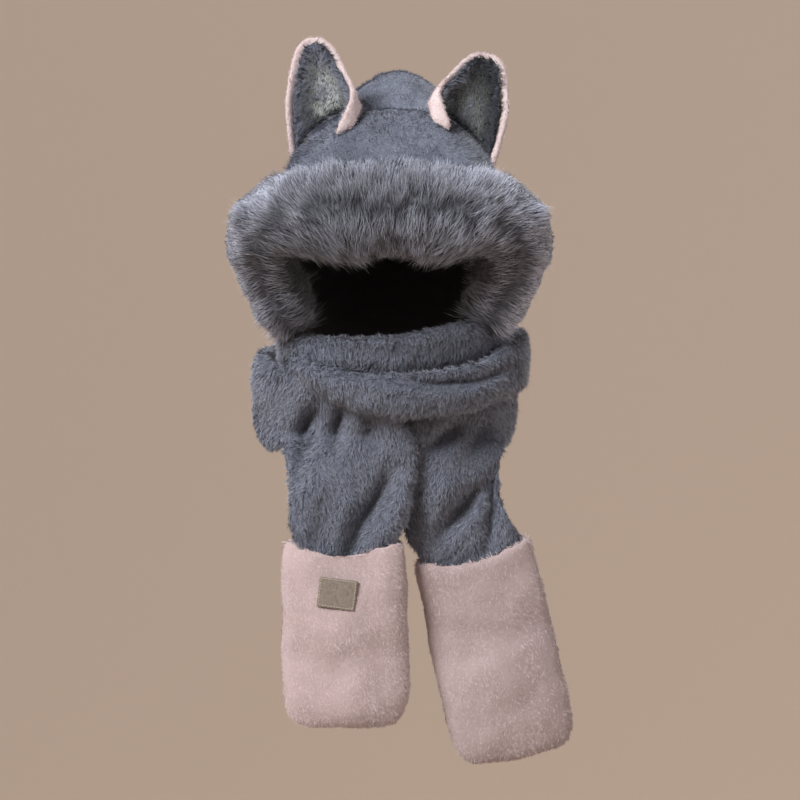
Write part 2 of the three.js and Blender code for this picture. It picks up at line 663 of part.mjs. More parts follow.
const POCKET_SIDES = 20;
const POCKET_SIDE_POWER = 0.75; // how full a pocket's side edges are
const POCKET_FACE_POWER = 0.85; // how full its two faces are
const MOUTH_DIP_FADE = 6; // how soon the mouth's sag dies out below it
const pocketWidth = column(POCKET_SECTIONS, "down", "width");
const pocketThick = column(POCKET_SECTIONS, "down", "thick");

function pocketPlace(pocket) {
  const mouth = new THREE.Vector3(
    pocket.side * WRAP_HALF_WIDTH,
    -pocket.front * WRAP_REACH,
    CHIN_Z - pocket.drop * SCARF_DROP,
  );
  const hang = new THREE.Euler(
    THREE.MathUtils.degToRad(-pocket.lean),
    THREE.MathUtils.degToRad(-pocket.tilt),
    0,
    "YXZ",
  );
  return (across, out, down) =>
    new THREE.Vector3(across, -out, -down).applyEuler(hang).add(mouth);
}

function pocketRing(pocket, row, down, inset) {
  const place = pocketPlace(pocket);
  const halfWidth = row.width * POCKET_HALF_WIDTH - inset;
  const halfThick = Math.max(row.thick * POCKET_HALF_THICKNESS - inset, 1);
  const ring = [];
  for (let j = 0; j < POCKET_SIDES; j++) {
    const angle = (2 * Math.PI * j) / POCKET_SIDES;
    const { across, out } = squareRound(angle, POCKET_SIDE_POWER, POCKET_FACE_POWER);
    const fade = (1 - row.down) ** MOUTH_DIP_FADE;
    const dip = MOUTH_DIP * Math.max(out, 0) * (1 - across ** 2) * fade;
    ring.push(place(across * halfWidth, out * halfThick, down + dip));
  }
  return ring;
}

// The outer shape less the hollow, which runs on out of the mouth and widens fast below it
const HOLLOW_ABOVE = 3; // the hollow's start above the mouth, in mouth dips
const HOLLOW_FLARE = 0.5;

function pocketPouch(pocket, grow) {
  const length = pocket.length * POCKET_LENGTH;
  const outer = POCKET_SECTIONS.map((row) => pocketRing(pocket, row, row.down * length, -grow));
  const inner = POCKET_SECTIONS.map((row) => {
    const share = row.down ** HOLLOW_FLARE;
    const down = THREE.MathUtils.lerp(-HOLLOW_ABOVE * MOUTH_DIP, length - POCKET_WALL, share);
    return pocketRing(pocket, row, down, POCKET_WALL + grow);
  });
  return tube(outer, grow).subtract(tube(inner));
}

// The end of a panel inside its pocket, which passes from the mouth to the back wall
const TUCKED = [
  { down: 0, thick: 0.75, set: 0.1 },
  { down: 0.5, thick: 0.6, set: 0.3 },
  { down: 1, thick: 0.5, set: 0.4 },
];
function tuckedRings(last, pocket, grow) {
  const place = pocketPlace(pocket);
  const room = POCKET_HALF_THICKNESS - POCKET_WALL;
  const halfWidth = POCKET_HALF_WIDTH * POCKET_SECTIONS[0].width - POCKET_WALL;
  const flip = last.roll > 0 ? 1 : -1;
  return TUCKED.map(({ down, thick, set }) => {
    const halfThick = thick * SCARF_HALF_THICKNESS;
    const ring = [];
    for (let j = 0; j < PANEL_SIDES; j++) {
      const { across, out } = panelCorner(j);
      const lift = out * (halfThick + grow) - set * room;
      ring.push(place(flip * across * (halfWidth + grow), lift, down * SCARF_TUCK));
    }
    return ring;
  });
}

// The woven label, a thin patch that follows the left pocket's front
const LABEL_ACROSS = -8; // from the pocket's middle
const LABEL_DOWN = 60; // mouth to the label's middle
const LABEL_TURN = 8; // degrees
const LABEL_ROWS = 4;
const LABEL_COLUMNS = 5;

function label() {
  const place = pocketPlace(LEFT_POCKET);
  const turn = THREE.MathUtils.degToRad(LABEL_TURN);
  const point = (up, side, raise) => {
    const u = (side - 0.5) * LABEL_WIDTH;
    const v = (up - 0.5) * LABEL_HEIGHT;
    const across = LABEL_ACROSS + u * Math.cos(turn) - v * Math.sin(turn);
    const down = LABEL_DOWN + u * Math.sin(turn) + v * Math.cos(turn);
    const share = down / (LEFT_POCKET.length * POCKET_LENGTH);
    const flat = Math.abs(across) / (pocketWidth(share) * POCKET_HALF_WIDTH);
    const angle = Math.acos(Math.min(flat, 1) ** (1 / POCKET_SIDE_POWER));
    const { out } = squareRound(angle, POCKET_SIDE_POWER, POCKET_FACE_POWER);
    return place(across, out * pocketThick(share) * POCKET_HALF_THICKNESS + raise, down);
  };
  const patch = sheet(
    LABEL_ROWS,
    LABEL_COLUMNS,
    (up, side) => point(up, side, CLEARANCE + LABEL_THICKNESS),
    (up, side) => point(up, side, -LABEL_THICKNESS),
  );
  return patch.subtract(pocketPouch(LEFT_POCKET, CLEARANCE));
}

// Assembly

const PLUSH_GREY = 0x6b707c;
const FUR_GREY = 0x7b7c7f;
const PLUSH_PINK = 0xd9c5c0;
const CENTRE_GREY = 0x8d938f;
const LABEL_LINEN = 0xa59c8d;

const part = new THREE.Group();
const add = (name, solid, colour, roughness = 0.95) =>
  part.add(meshOf(name, mainBody(solid), colour, roughness));

const CORE_REACH = 0.97; // the padding stops just short of the sleeve's ends
const hoodRoom = hoodShell(2 * CLEARANCE).add(
  brimRoll(BRIM_CORE_SHARE, CLEARANCE, CORE_REACH),
);
add("hood", hoodShell(0).add(brimRoll(BRIM_CORE_SHARE, 0, CORE_REACH)), PLUSH_GREY);

const pocketRoom = pocketPouch(LEFT_POCKET, CLEARANCE).add(pocketPouch(RIGHT_POCKET, CLEARANCE));
const rightPanel = (grow) => tube(panelRings(RIGHT_PANEL, RIGHT_FOLDS, RIGHT_POCKET, grow), grow);
const leftPanel = (grow) => tube(panelRings(LEFT_PANEL, LEFT_FOLDS, LEFT_POCKET, grow), grow);
const aroundPanels = hoodRoom.add(pocketRoom);
add("scarf_right", rightPanel(0).subtract(aroundPanels), PLUSH_GREY);
add("scarf_left", leftPanel(0).subtract(aroundPanels.add(rightPanel(CLEARANCE))), PLUSH_GREY);

const scarfRoom = rightPanel(CLEARANCE).add(leftPanel(CLEARANCE));
add("fur_brim", furBrim().subtract(hoodRoom.add(scarfRoom)), FUR_GREY);

const EAR_LAYERS = [
  { name: "back", thickness: EAR_BACK_THICKNESS, colour: PLUSH_PINK },
  { name: "face", thickness: EAR_FACE_THICKNESS, colour: PLUSH_GREY },
  { name: "centre", thickness: EAR_CENTRE_THICKNESS, colour: CENTRE_GREY },
];
const crownRoom = hoodFilled(CLEARANCE);
for (const ear of EARS) {
  let raise = -EAR_BACK_THICKNESS;
  EAR_LAYERS.forEach(({ name, thickness, colour }, level) => {
    const layer = earLayer(ear, level, raise, raise + thickness);
    add(`ear_${ear.name}_${name}`, layer.subtract(crownRoom), colour);
    raise += thickness + CLEARANCE;
  });
}

add("pocket_right", pocketPouch(RIGHT_POCKET, 0), PLUSH_PINK);
add("pocket_left", pocketPouch(LEFT_POCKET, 0), PLUSH_PINK);
add("label", label(), LABEL_LINEN);

export default part;
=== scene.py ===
import math

import bpy
import numpy as np
from mathutils import Matrix, Vector


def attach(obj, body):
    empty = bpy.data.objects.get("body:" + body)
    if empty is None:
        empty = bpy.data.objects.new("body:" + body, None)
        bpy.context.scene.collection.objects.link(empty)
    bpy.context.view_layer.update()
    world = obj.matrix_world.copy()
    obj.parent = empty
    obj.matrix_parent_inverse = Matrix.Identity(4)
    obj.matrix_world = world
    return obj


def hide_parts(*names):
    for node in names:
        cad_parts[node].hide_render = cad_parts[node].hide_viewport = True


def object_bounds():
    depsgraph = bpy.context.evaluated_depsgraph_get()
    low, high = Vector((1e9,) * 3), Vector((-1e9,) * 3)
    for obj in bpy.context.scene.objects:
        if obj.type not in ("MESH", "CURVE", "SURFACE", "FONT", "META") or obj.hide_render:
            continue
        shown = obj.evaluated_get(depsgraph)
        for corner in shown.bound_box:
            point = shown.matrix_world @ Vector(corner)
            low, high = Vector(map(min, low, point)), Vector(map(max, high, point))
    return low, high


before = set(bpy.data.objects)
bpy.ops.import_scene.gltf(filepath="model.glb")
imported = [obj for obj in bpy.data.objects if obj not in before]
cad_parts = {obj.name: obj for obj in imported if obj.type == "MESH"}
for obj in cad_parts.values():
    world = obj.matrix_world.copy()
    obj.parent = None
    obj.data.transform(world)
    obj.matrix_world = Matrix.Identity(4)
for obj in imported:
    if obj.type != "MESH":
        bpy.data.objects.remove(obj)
solid_low, solid_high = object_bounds()


# The studio: eight pale paper walls that curl into a paper floor round the hung piece, a
# soft sun from the upper left, weaker ones from the right and from behind, and the camera,
# which looks slightly down at the front.
EYE = Vector((0.012, -2.5747, 0.0239))
LOOK_DOWN = math.radians(8)
FOCAL_LENGTH = 97.5
PAPER_RADIUS = 5
PAPER_HEIGHT = 5
PAPER_GAP = 2.2
PAPER_SIDES = 8
PAPER_CURL = 0.5
CURL_STEPS = 14
PAPER_TONE = (0.42, 0.34, 0.28, 1)
SKY_TONE = (0.93, 0.96, 1, 1)
SKY_STRENGTH = 0.38
# Each sun has a place that it shines from, a width in degrees and a strength.
SUNS = [
    ("light_key", (-0.64, -0.55, 0.72), 22, 3.5),
    ("light_fill", (0.80, -0.60, 0.20), 70, 0.38),
    ("light_back", (0.25, 0.80, 0.30), 60, 1.3),
]


def deselect():
    bpy.ops.object.select_all(action="DESELECT")


def plain_material(name, colour, roughness):
    material = bpy.data.materials.new(name)
    material.use_nodes = True
    shader = material.node_tree.nodes["Principled BSDF"]
    shader.inputs["Base Color"].default_value = colour
    shader.inputs["Roughness"].default_value = roughness
    return material


deselect()
bpy.ops.object.camera_add(location=EYE, rotation=(math.pi / 2 - LOOK_DOWN, 0, 0))
camera = bpy.context.object
camera.data.lens = FOCAL_LENGTH
camera.data.clip_end = 40
bpy.context.scene.camera = camera

floor_level = solid_low.z - PAPER_GAP
deselect()
bpy.ops.mesh.primitive_cylinder_add(
    vertices=PAPER_SIDES,
    radius=PAPER_RADIUS,
    depth=PAPER_HEIGHT,
    end_fill_type="NGON",
    location=(0, 0, floor_level + PAPER_HEIGHT / 2),
    rotation=(0, 0, math.pi / PAPER_SIDES),
)
paper = bpy.context.object
paper.name = "paper_sweep"
bpy.ops.object.transform_apply(location=True, rotation=True, scale=True)
bpy.ops.object.mode_set(mode="EDIT")
bpy.ops.mesh.select_all(action="DESELECT")
bpy.ops.object.mode_set(mode="OBJECT")
for face in paper.data.polygons:
    face.select = face.normal.z > 0.9
bpy.ops.object.mode_set(mode="EDIT")
bpy.ops.mesh.delete(type="ONLY_FACE")
bpy.ops.mesh.select_all(action="SELECT")
bpy.ops.mesh.flip_normals()
bpy.ops.object.mode_set(mode="OBJECT")
curl = paper.modifiers.new("curl", "BEVEL")
curl.width = PAPER_CURL
curl.segments = CURL_STEPS
curl.limit_method = "ANGLE"
deselect()
paper.select_set(True)
bpy.ops.object.modifier_apply(modifier="curl")
bpy.ops.object.shade_smooth()
paper.data.materials.append(plain_material("seamless_paper", PAPER_TONE, 0.9))
paper.visible_shadow = False

for name, place, width, power in SUNS:
    deselect()
    bpy.ops.object.light_add(
        type="SUN", rotation=Vector(place).to_track_quat("Z", "Y").to_euler()
    )
    light = bpy.context.object
    light.name = name
    light.data.angle = math.radians(width)
    light.data.energy = power

world = bpy.context.scene.world or bpy.data.worlds.new("studio")
bpy.context.scene.world = world
world.use_nodes = True
world.node_tree.nodes["Background"].inputs["Color"].default_value = SKY_TONE
world.node_tree.nodes["Background"].inputs["Strength"].default_value = SKY_STRENGTH
bpy.context.scene.view_settings.view_transform = "Standard"


# The hood: two sides of blue-grey plush cloth about 10 mm thick, sewn together down the
# back of the head, with a short nap inside painted near-black as painted shade. Its front
# edge is padded and goes into the fur brim. The pile is about 8 mm long and combed forwards and
# down.
PLUSH_ROOT = (0.084, 0.094, 0.130, 1)
PLUSH_MID = (0.100, 0.111, 0.150, 1)
PLUSH_BODY = (0.203, 0.222, 0.284, 1)
PLUSH_TIP = (0.440, 0.474, 0.575, 1)
# The hood's inside is painted near-black as painted shade.
INSIDE_PAINTED_SHADE = (0.030, 0.030, 0.034, 1)
PLUSH_LENGTH = 0.0078
PLUSH_WIDTH = 0.0009
PLUSH_RUFFLE = (0.0035, 0.014)
ROOT_DEPTH = 0.0006
HOOD_VOXEL = 0.006
HOOD_ROUNDS = 8
HOOD_HEART = Vector((0, 0.02, -0.14))
INSIDE_LOOKS_IN = 0.012
VALLEY = {"y": -0.024, "breadth": 0.017, "reach": 0.10, "depth": 0.010}
SEAM_BREADTH = 0.007
SEAM_DEPTH = 0.005
PEAK_LEAN = 0.010
BROW = {"top": -0.105, "bottom": -0.205, "breadth": 0.075, "ahead": -0.05, "rise": 0.008}
HOOD_TUFTS = 23000
HOOD_HAIRS = 5
HOOD_TONE = 0.95
HOOD_SEED = 11


def rounded_copy(node, name, voxel, rounds, levels=2, ruffle=(0.0, 0.02)):
    """The node's solid as a new soft body: its facets rounded, its skin even and ruffled by
    a height in waves of a size."""
    piece = bpy.data.objects.new(name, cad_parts[node].data.copy())
    bpy.context.scene.collection.objects.link(piece)
    piece.data.materials.clear()
    deselect()
    piece.select_set(True)
    bpy.context.view_layer.objects.active = piece
    bpy.ops.object.mode_set(mode="EDIT")
    bpy.ops.mesh.select_all(action="SELECT")
    bpy.ops.mesh.remove_doubles(threshold=1e-5)
    bpy.ops.mesh.tris_convert_to_quads()
    bpy.ops.object.mode_set(mode="OBJECT")
    if levels:
        rounder = piece.modifiers.new("rounder", "SUBSURF")
        rounder.levels = rounder.render_levels = levels
    even = piece.modifiers.new("even", "REMESH")
    even.mode = "VOXEL"
    even.voxel_size = voxel
    soften = piece.modifiers.new("soften", "SMOOTH")
    soften.factor = 0.5
    soften.iterations = rounds
    height, size = ruffle
    if height:
        waves = bpy.data.textures.new(name + "_waves", "CLOUDS")
        waves.noise_scale = size
        waves.noise_depth = 1
        lumps = piece.modifiers.new("lumps", "DISPLACE")
        lumps.texture = waves
        lumps.texture_coords = "LOCAL"
        lumps.strength = height
    for modifier in [m.name for m in piece.modifiers]:
        bpy.ops.object.modifier_apply(modifier=modifier)
    bpy.ops.object.shade_smooth()
    return piece


def skin_of(piece):
    """The places and normals of a piece's vertices, as arrays."""
    count = len(piece.data.vertices)
    place = np.empty(count * 3, np.float32)
    piece.data.vertices.foreach_get("co", place)
    normal = np.empty(count * 3, np.float32)
    piece.data.vertex_normals.foreach_get("vector", normal)
    return place.reshape(-1, 3).astype(float), normal.reshape(-1, 3).astype(float)


def put_skin(piece, place):
    piece.data.vertices.foreach_set("co", place.astype(np.float32).ravel())
    piece.data.update()


def drift(place, size, seed):
    """A smooth wander between -1 and 1 over the surface, with waves about size across."""
    rng = np.random.default_rng(seed)
    total = np.zeros(len(place))
    for _ in range(5):
        way = rng.normal(size=3)
        way *= rng.uniform(0.7, 1.4) * 2 * math.pi / (size * np.linalg.norm(way))
        total += np.sin(place @ way + rng.uniform(0, 2 * math.pi))
    return np.clip(total / 2.2, -1, 1)


def along_surface(way, normal):
    """way laid flat on the surface."""
    flat = way - (way * normal).sum(1, keepdims=True) * normal
    return flat / np.maximum(np.linalg.norm(flat, axis=1, keepdims=True), 1e-9)


def unit(rows):
    return rows / np.maximum(np.linalg.norm(rows, axis=1, keepdims=True), 1e-9)


def grow_pile(
    name, piece, tufts, hairs, length, width, lift, comb, seed,
    tuft_spread=0.0025, gather=0.6, curve=0.35, bends=1, sway=0.7, relief=0.45,
    keep=None, trim=None, tone=None,
):
    """Hairs on a piece, in tufts whose tips gather. comb says which way they lie, lift is
    their rise off the surface in degrees, relief is how much each hair shades by itself,
    keep picks the places that get any, and trim and tone give the share of the length and
    of the colour at a place."""
    rng = np.random.default_rng(seed)
    mesh = piece.data
    mesh.calc_loop_triangles()
    corner = np.empty(len(mesh.loop_triangles) * 3, np.int32)
    mesh.loop_triangles.foreach_get("vertices", corner)
    corner = corner.reshape(-1, 3)
    place, normal = skin_of(piece)
    a, b, c = (place[corner[:, k]] for k in range(3))
    area = np.linalg.norm(np.cross(b - a, c - a), axis=1) / 2
    if keep is not None:
        area = area * keep((a + b + c) / 3, unit(np.cross(b - a, c - a)))
    pick = rng.choice(len(area), size=tufts, p=area / area.sum())
    r1, r2 = np.sqrt(rng.random(tufts)), rng.random(tufts)
    share = np.stack([1 - r1, r1 * (1 - r2), r1 * r2], 1)[:, :, None]
    root = (place[corner[pick]] * share).sum(1)
    out = unit((normal[corner[pick]] * share).sum(1))
    lie = along_surface(comb(root, out), out)
    side = np.cross(out, lie)
    turn = sway * (0.8 * drift(root, 0.07, seed + 1) + rng.normal(0, 0.45, tufts))[:, None]
    lie = lie * np.cos(turn) + side * np.sin(turn)
    side = np.cross(out, lie)
    cut = np.ones(tufts) if trim is None else trim(root, out)
    rise = np.radians((lift + 9 * rng.normal(size=tufts)) * cut)[:, None]
    first = out * np.sin(rise) + lie * np.cos(rise)
    droop = rise * (1 - curve)
    last = out * np.sin(droop) + lie * np.cos(droop)
    reach = length * (1 + 0.16 * drift(root, 0.05, seed + 2))[:, None]
    reach = reach * (cut * rng.uniform(0.85, 1.15, tufts))[:, None]

    def spread(rows):
        return np.repeat(rows, hairs, 0)

    count = tufts * hairs
    around = rng.normal(0, tuft_spread, (count, 2))
    offset = spread(lie) * around[:, :1] + spread(side) * around[:, 1:]
    long = spread(reach) * rng.uniform(0.72, 1.12, count)[:, None]
    splay = rng.normal(0, 0.13, (count, 3))
    foot = spread(root) + offset - spread(out) * ROOT_DEPTH
    knee = foot + (spread(first) + splay) * long * 0.5 - offset * gather * 0.45
    tip = foot + (spread(first) + spread(last) + 2 * splay) * long * 0.5 - offset * gather
    axis = unit(tip - foot)
    twist = rng.normal(0, 0.5, count)[:, None]
    flat = unit(np.cross(axis, spread(out)))
    blade = flat * np.cos(twist) + np.cross(axis, flat) * np.sin(twist)
    half = width / 2 * rng.uniform(0.75, 1.25, count)[:, None]
    facing = unit(np.cross(axis, blade))
    facing *= np.sign((facing * spread(out)).sum(1, keepdims=True) + 1e-9)
    shade = unit(0.75 * spread(out) + relief * facing)
    if bends == 1:
        rows = [foot - blade * half, foot + blade * half, tip]
        tilt = [-0.55, 0.55, 0]
        level = [0, 0, 1]
        faces = [[0, 1, 2]]
    else:
        rows = [
            foot - blade * half, foot + blade * half,
            knee - blade * half * 0.8, knee + blade * half * 0.8, tip,
        ]
        tilt = [-0.55, 0.55, -0.55, 0.55, 0]
        level = [0, 0, 0.5, 0.5, 1]
        faces = [[0, 1, 3], [0, 3, 2], [2, 3, 4]]
    step = len(rows)
    points = np.stack(rows, 1).reshape(-1, 3)
    shades = unit(np.stack([shade + blade * t for t in tilt], 1).reshape(-1, 3))
    faces = np.array(faces)
    wound = (np.cross(blade, axis) * spread(out)).sum(1) < 0
    base = (np.arange(count) * step)[:, None, None]
    order = np.where(wound[:, None, None], faces[None, :, ::-1], faces[None]) + base
    order = order.reshape(-1, 3)
    hair_mesh = bpy.data.meshes.new(name)
    hair_mesh.vertices.add(len(points))
    hair_mesh.vertices.foreach_set("co", points.astype(np.float32).ravel())
    hair_mesh.loops.add(order.size)
    hair_mesh.loops.foreach_set("vertex_index", order.astype(np.int32).ravel())
    hair_mesh.polygons.add(len(order))
    hair_mesh.polygons.foreach_set("loop_start", np.arange(0, order.size, 3, dtype=np.int32))
    hair_mesh.update(calc_edges=True)
    tint = np.repeat(rng.random(count), step)
    height = np.tile(level, count)
    uv = np.stack([tint, height], 1)[order.ravel()]
    hair_mesh.uv_layers.new(name="hair")
    hair_mesh.uv_layers["hair"].data.foreach_set("uv", uv.astype(np.float32).ravel())
    # Each tuft's tone is its own lighter or darker colour and, where a piece gives it, painted
    # light and shade.
    painted_light_and_tone = np.ones(tufts) if tone is None else tone(root, out)
    hair_mesh.attributes.new("painted_light_and_tone", "FLOAT", "POINT")
    hair_mesh.attributes["painted_light_and_tone"].data.foreach_set(
        "value", np.repeat(painted_light_and_tone, hairs * step).astype(np.float32)
    )
    hair_mesh.shade_smooth()
    hair_mesh.normals_split_custom_set_from_vertices(shades.tolist())
    pile = bpy.data.objects.new(name, hair_mesh)
    bpy.context.scene.collection.objects.link(pile)
    return pile


def hair_material(name, root, body, tip, patch, vary=0.25, roughness=0.75, sheen=0.3):
    """Hairs that are dark at the root and pale at the tip, each a little different, in
    patches that lie lighter and darker."""
    material = bpy.data.materials.new(name)
    material.use_nodes = True
    nodes, links = material.node_tree.nodes, material.node_tree.links
    shader = nodes["Principled BSDF"]
    shader.inputs["Roughness"].default_value = roughness
    shader.inputs["Specular IOR Level"].default_value = 0.25
    shader.inputs["Sheen Weight"].default_value = sheen
    shader.inputs["Sheen Roughness"].default_value = 0.5
    hair = nodes.new("ShaderNodeUVMap")
    hair.uv_map = "hair"
    split = nodes.new("ShaderNodeSeparateXYZ")
    links.new(hair.outputs["UV"], split.inputs["Vector"])
    ramp = nodes.new("ShaderNodeValToRGB")
    ramp.color_ramp.elements[0].color = root
    ramp.color_ramp.elements[0].position = 0.05
    ramp.color_ramp.elements[1].color = tip
    ramp.color_ramp.elements[1].position = 1.0
    middle = ramp.color_ramp.elements.new(0.55)
    middle.color = body
    links.new(split.outputs["Y"], ramp.inputs["Fac"])
    place = nodes.new("ShaderNodeTexCoord")
    mottle = nodes.new("ShaderNodeTexNoise")
    mottle.inputs["Scale"].default_value = 1 / patch
    mottle.inputs["Detail"].default_value = 3
    links.new(place.outputs["Object"], mottle.inputs["Vector"])
    sum_up = nodes.new("ShaderNodeMath")
    sum_up.operation = "ADD"
    links.new(split.outputs["X"], sum_up.inputs[0])
    links.new(mottle.outputs["Fac"], sum_up.inputs[1])
    gain = nodes.new("ShaderNodeMapRange")
    gain.inputs["From Min"].default_value = 0.3
    gain.inputs["From Max"].default_value = 1.7
    gain.inputs["To Min"].default_value = 1 - vary
    gain.inputs["To Max"].default_value = 1 + vary
    links.new(sum_up.outputs[0], gain.inputs["Value"])
    # The colour is scaled by each hair's tone, which also carries painted light and shade.
    painted_light_and_tone = nodes.new("ShaderNodeAttribute")
    painted_light_and_tone.attribute_name = "painted_light_and_tone"
    toned_with_painted_light = nodes.new("ShaderNodeMath")
    toned_with_painted_light.operation = "MULTIPLY"
    links.new(gain.outputs["Result"], toned_with_painted_light.inputs[0])
    links.new(painted_light_and_tone.outputs["Fac"], toned_with_painted_light.inputs[1])
    tone = nodes.new("ShaderNodeVectorMath")
    tone.operation = "SCALE"
    links.new(ramp.outputs["Color"], tone.inputs[0])
    links.new(toned_with_painted_light.outputs[0], tone.inputs["Scale"])
    links.new(tone.outputs["Vector"], shader.inputs["Base Color"])
    return material


def cloth_material(name, dark, light, patch, grain, bump, roughness=0.9, sheen=0.3):
    """The cloth under a pile, in two tones with a fine nap."""
    material = bpy.data.materials.new(name)
    material.use_nodes = True
    nodes, links = material.node_tree.nodes, material.node_tree.links
    shader = nodes["Principled BSDF"]
    shader.inputs["Roughness"].default_value = roughness
    shader.inputs["Specular IOR Level"].default_value = 0.2
    shader.inputs["Sheen Weight"].default_value = sheen
    place = nodes.new("ShaderNodeTexCoord")
    mottle = nodes.new("ShaderNodeTexNoise")
    mottle.inputs["Scale"].default_value = 1 / patch
    mottle.inputs["Detail"].default_value = 4
    links.new(place.outputs["Object"], mottle.inputs["Vector"])
    ramp = nodes.new("ShaderNodeValToRGB")
    ramp.color_ramp.elements[0].color = dark
    ramp.color_ramp.elements[0].position = 0.3
    ramp.color_ramp.elements[1].color = light
    ramp.color_ramp.elements[1].position = 0.7
    links.new(mottle.outputs["Fac"], ramp.inputs["Fac"])
    links.new(ramp.outputs["Color"], shader.inputs["Base Color"])
    nap = nodes.new("ShaderNodeTexNoise")
    nap.inputs["Scale"].default_value = 1 / grain
    nap.inputs["Detail"].default_value = 2
    links.new(place.outputs["Object"], nap.inputs["Vector"])
    relief = nodes.new("ShaderNodeBump")
    relief.inputs["Strength"].default_value = bump
    relief.inputs["Distance"].default_value = grain
    links.new(nap.outputs["Fac"], relief.inputs["Height"])
    links.new(relief.outputs["Normal"], shader.inputs["Normal"])
    return material


PLUSH_HAIR = hair_material("plush_hair", PLUSH_ROOT, PLUSH_BODY, PLUSH_TIP, 0.02)
PLUSH_CLOTH = cloth_material("plush_cloth", PLUSH_ROOT, PLUSH_BODY, 0.012, 0.0012, 0.6)
HOOD_CLOTH = cloth_material("hood_plush_cloth", PLUSH_MID, PLUSH_BODY, 0.02, 0.0012, 0.4)
INSIDE_PAINTED_SHADE_CLOTH = cloth_material("hood_inside_painted_shade", INSIDE_PAINTED_SHADE, INSIDE_PAINTED_SHADE, 0.02, 0.002, 0.5, sheen=0.05)


def faces_in(place, normal):
    """1 where a face of the hood looks into the hollow."""
    heart = np.array(HOOD_HEART)
    return ((heart - place) * normal).sum(1) > INSIDE_LOOKS_IN


def raise_brow(spots):
    """Raises the lower edge of the brow's padded roll at its middle."""
    middle = np.exp(-((spots[:, 0] / BROW["breadth"]) ** 2)) * (spots[:, 1] < BROW["ahead"])
    low = np.clip((BROW["top"] - spots[:, 2]) / 0.03, 0, 1)
    low *= np.clip((spots[:, 2] - BROW["bottom"]) / 0.02, 0, 1)
    spots[:, 2] += BROW["rise"] * middle * low


hood = rounded_copy("hood", "hood_cloth", HOOD_VOXEL, HOOD_ROUNDS, ruffle=PLUSH_RUFFLE)
hood.data.materials.append(HOOD_CLOTH)
hood.data.materials.append(INSIDE_PAINTED_SHADE_CLOTH)

spots, ways = skin_of(hood)
sunk = np.exp(-(((spots[:, 1] - VALLEY["y"]) / VALLEY["breadth"]) ** 2))
sunk *= np.clip(1.3 - np.abs(spots[:, 0]) / VALLEY["reach"], 0, 1)
spots[:, 2] -= VALLEY["depth"] * sunk * np.clip((spots[:, 2] + 0.05) / 0.03, 0, 1)
backs = np.clip(ways[:, 1] * 2, 0, 1) * (spots[:, 1] > 0.03) * (1 - faces_in(spots, ways))
spots -= ways * (SEAM_DEPTH * np.exp(-((spots[:, 0] / SEAM_BREADTH) ** 2)) * backs)[:, None]
behind = np.clip((spots[:, 1] - VALLEY["y"]) / 0.03, 0, 1)
spots[:, 0] += PEAK_LEAN * behind * np.clip((spots[:, 2] + 0.01) / 0.05, 0, 1)
raise_brow(spots)
put_skin(hood, spots)
# Faces that look into the hollow get the near-black painted shade of the inside.
for face in hood.data.polygons:
    face.material_index = int((HOOD_HEART - face.center).dot(face.normal) > INSIDE_LOOKS_IN)


def hood_comb(place, normal):
    """Forwards over the crown, down the sides and back."""
    way = np.tile([0.0, -0.35, -1.0], (len(place), 1))
    way[:, 1] -= np.clip((place[:, 2] + 0.06) / 0.05, 0, 1) * 0.8
    return way


def hood_shows(place, normal):
    """1 on the outside of the hood, where no other piece lies on it."""
    free = (place[:, 2] > -0.25) & ((place[:, 1] > -0.10) | (place[:, 2] > -0.05))
    return free * (1 - faces_in(place, normal))


def hood_trim(place, normal):
    """Longer where the crown meets the brim."""
    crown = np.clip((place[:, 2] + 0.10) / 0.04, 0, 1)
    return 1 + 0.7 * crown * np.clip((-0.045 - place[:, 1]) / 0.04, 0, 1)


def hood_tone(place, normal):
    """Each tuft a little lighter or darker than the next."""
    return HOOD_TONE * np.random.default_rng(HOOD_SEED).uniform(0.72, 1.24, len(place))


hood_pile = grow_pile(
    "hood_pile", hood, tufts=HOOD_TUFTS, hairs=HOOD_HAIRS, length=PLUSH_LENGTH,
    width=PLUSH_WIDTH, lift=26, comb=hood_comb, seed=HOOD_SEED, relief=0.7, sway=0.5,
    gather=0.5, keep=hood_shows, trim=hood_trim, tone=hood_tone,
)
hood_pile.data.materials.append(PLUSH_HAIR)
hood_pile.visible_shadow = False
for piece in (hood, hood_pile):
    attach(piece, "root")
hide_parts("hood")


# The fur brim: a sleeve of long grey pile round the hood's padded front edge. Its hairs are
# about 25 mm long with dark roots and pale tips, and part along the front of the roll.
FUR_ROOT = (0.034, 0.036, 0.046, 1)
FUR_SHADE = (0.085, 0.090, 0.112, 1)
FUR_BODY = (0.160, 0.169, 0.208, 1)
FUR_TIP = (0.525, 0.552, 0.655, 1)
FUR_LENGTH = 0.024
FUR_WIDTH = 0.00062
SLEEVE_VOXEL = 0.006
SLEEVE_ROUNDS = 28
BRIM_TUFTS = 7600
BRIM_HAIRS = 6
PARTING = 0.12
BRIM_SEED = 23
BRIM_HEART = np.array([0, 0, -0.160])

brim = rounded_copy("fur_brim", "brim_sleeve", SLEEVE_VOXEL, SLEEVE_ROUNDS, levels=0)
brim.data.materials.append(cloth_material("fur_cloth", FUR_SHADE, FUR_BODY, 0.01, 0.002, 0.6))
spots, _ = skin_of(brim)
raise_brow(spots)
put_skin(brim, spots)


def brim_out(place, straight=0.0):
    """Outwards from the opening's middle; straight turns it upright near the centre."""
    out = place - BRIM_HEART
    out[:, 0] *= 1 - straight * np.clip(1.15 - np.abs(place[:, 0]) / 0.16, 0, 1)
    out[:, 1] = 0
    return unit(out)


def brim_across(place, normal):
    """1 where the roll faces outwards, 0 at its front ridge, -1 where it faces inwards."""
    return (normal * brim_out(place)).sum(1)


